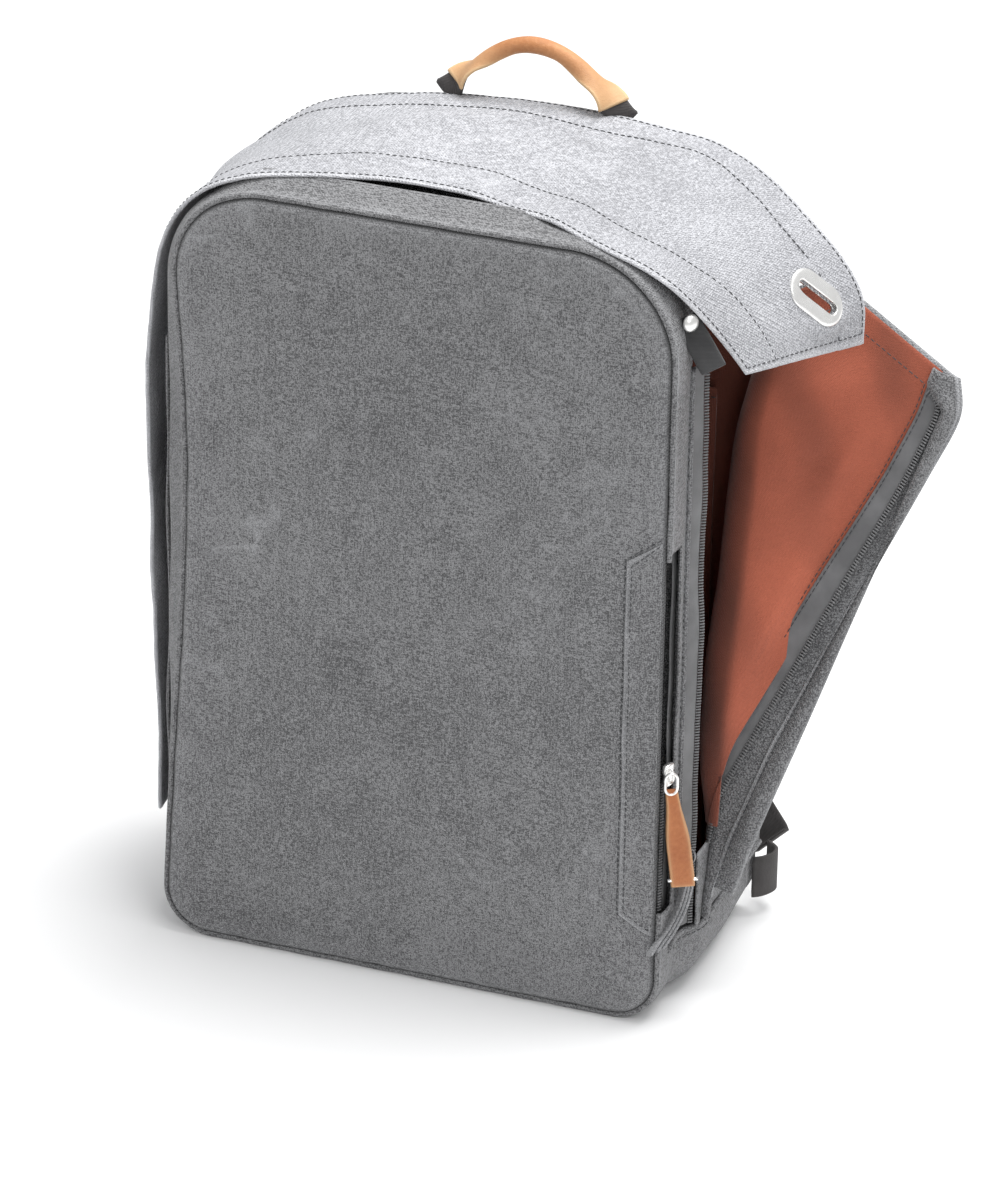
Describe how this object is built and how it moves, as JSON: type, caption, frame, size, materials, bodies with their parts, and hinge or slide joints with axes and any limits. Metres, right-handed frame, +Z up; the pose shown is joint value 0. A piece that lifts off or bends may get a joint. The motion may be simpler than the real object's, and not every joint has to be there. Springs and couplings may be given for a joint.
{
  "type": "travel backpack",
  "caption": "Canvas travel backpack with a front pocket, a laptop sleeve, a side opening that unzips and folds out, a lid flap with a slotted eyelet and a leather-wrapped handle.",
  "frame": {"origin": "middle of the base, on the surface that the bag stands on", "axes": "+X to the wearer's right, where the side opening is, +Y towards the wearer's back, +Z up"},
  "size_m": [0.4399, 0.2033, 0.5143],
  "materials": {
    "canvas": "washed mid-grey cotton canvas, matt, mottled",
    "lid_canvas": "the same washed grey canvas, a little paler",
    "rust_lining": "smooth rust-red cotton lining",
    "zip_tape": "dark grey woven tape",
    "zip_coil": "dark grey moulded zip teeth",
    "nickel": "polished nickel plate",
    "dark_nickel": "dark gunmetal plate",
    "leather": "tan vegetable-tanned leather with raw edges",
    "webbing": "dark charcoal woven webbing",
    "buckle_metal": "satin grey metal",
    "foam": "closed-cell foam",
    "board": "stiff base board"
  },
  "bodies": {
    "shell": {"front_panel": "canvas", "front_piping": "canvas", "front_gusset": "canvas", "pocket_welt": "canvas", "divider_panel": "canvas", "left_wall": "canvas", "base_panel": "canvas", "top_panel": "canvas", "back_panel": "canvas", "side_panel": "canvas", "zip_end_tab": "canvas", "strap_yoke": "canvas", "lid_band": "lid_canvas", "divider_lining": "rust_lining", "side_lining": "rust_lining", "back_lining": "rust_lining", "laptop_sleeve": "rust_lining", "pocket_zip_tape_front": "zip_tape", "pocket_zip_tape_rear": "zip_tape", "body_zip_tape": "zip_tape", "closure_tab": "zip_tape", "pocket_zip_chain": "zip_coil", "body_zip_chain": "zip_coil", "tab_rivet": "nickel", "handle_foot_left": "webbing", "handle_foot_right": "webbing", "strap_anchor_left": "webbing", "strap_anchor_right": "webbing", "strap_root_left": "webbing", "strap_root_right": "webbing", "back_foam": "foam", "base_board": "board"},
    "leaf": {"side_leaf": "canvas", "leaf_lining": "rust_lining", "leaf_zip_tape": "zip_tape", "leaf_zip_chain": "zip_coil", "turn_lock_plate": "nickel"},
    "lock_knob": {"turn_lock_knob": "nickel"},
    "flap_shoulder": {"flap_shoulder": "lid_canvas"},
    "flap_tail": {"flap_tail": "lid_canvas", "slot_eyelet_front": "nickel", "slot_eyelet_back": "nickel"},
    "handle": {"handle_strap": "webbing", "handle_grip": "leather", "handle_grip_lining": "leather"},
    "main_slider": {"main_slider": "nickel"},
    "main_puller": {"main_puller": "dark_nickel"},
    "pocket_slider": {"pocket_slider": "nickel"},
    "leather_puller": {"pocket_ring": "nickel", "leather_puller": "leather"},
    "strap_left": {"shoulder_strap_left": "canvas", "strap_buckle_left": "buckle_metal", "strap_webbing_left": "webbing"},
    "strap_right": {"shoulder_strap_right": "canvas", "strap_buckle_right": "buckle_metal", "strap_webbing_right": "webbing"}
  },
  "joints": [
    {"name": "leaf_fold", "type": "hinge", "parent": "shell", "child": "leaf", "pos_m": [0.1561, -0.034, 0.052], "axis": [0, 0.2837, 0.9589], "range_deg": [-90, 8]},
    {"name": "lock_turn", "type": "hinge", "parent": "leaf", "child": "lock_knob", "pos_m": [0.19124, 0.05576, 0.3441], "axis": [0, 0.9589, -0.2837], "range_deg": [0, 90]},
    {"name": "flap_close", "type": "hinge", "parent": "shell", "child": "flap_shoulder", "pos_m": [0.1, -0.044, 0.392], "axis": [0, 0.9998, -0.02], "range_deg": [0, 28]},
    {"name": "flap_lift", "type": "hinge", "parent": "flap_shoulder", "child": "flap_tail", "pos_m": [0.14884, -0.044, 0.42278], "axis": [0.1434, 0.9605, 0.2386], "range_deg": [-100, 0]},
    {"name": "handle_swing", "type": "hinge", "parent": "shell", "child": "handle", "pos_m": [0.013, 0.072, 0.494], "axis": [1, 0, 0], "range_deg": [-70, 70]},
    {"name": "main_zip_slide", "type": "slide", "parent": "shell", "child": "main_slider", "axis": [0, 0, 1], "range_m": [0, 0.27]},
    {"name": "main_puller_swing", "type": "hinge", "parent": "main_slider", "child": "main_puller", "pos_m": [0.1542, -0.0395, 0.089], "axis": [1, 0, 0], "range_deg": [-15, 0]},
    {"name": "pocket_zip_slide", "type": "slide", "parent": "shell", "child": "pocket_slider", "axis": [0, 0, 1], "range_m": [-0.075, 0.135]},
    {"name": "leather_puller_swing", "type": "hinge", "parent": "pocket_slider", "child": "leather_puller", "pos_m": [0.1526, -0.066, 0.154], "axis": [0.866, 0.5, 0], "range_deg": [-110, 0]},
    {"name": "strap_swing_left", "type": "hinge", "parent": "shell", "child": "strap_left", "pos_m": [-0.055, 0.092, 0.44], "axis": [-0.2483, -0.0049, -0.9687], "range_deg": [-22, 7]},
    {"name": "strap_swing_right", "type": "hinge", "parent": "shell", "child": "strap_right", "pos_m": [0.055, 0.092, 0.44], "axis": [0.2483, -0.0049, -0.9687], "range_deg": [-7, 22]}
  ]
}
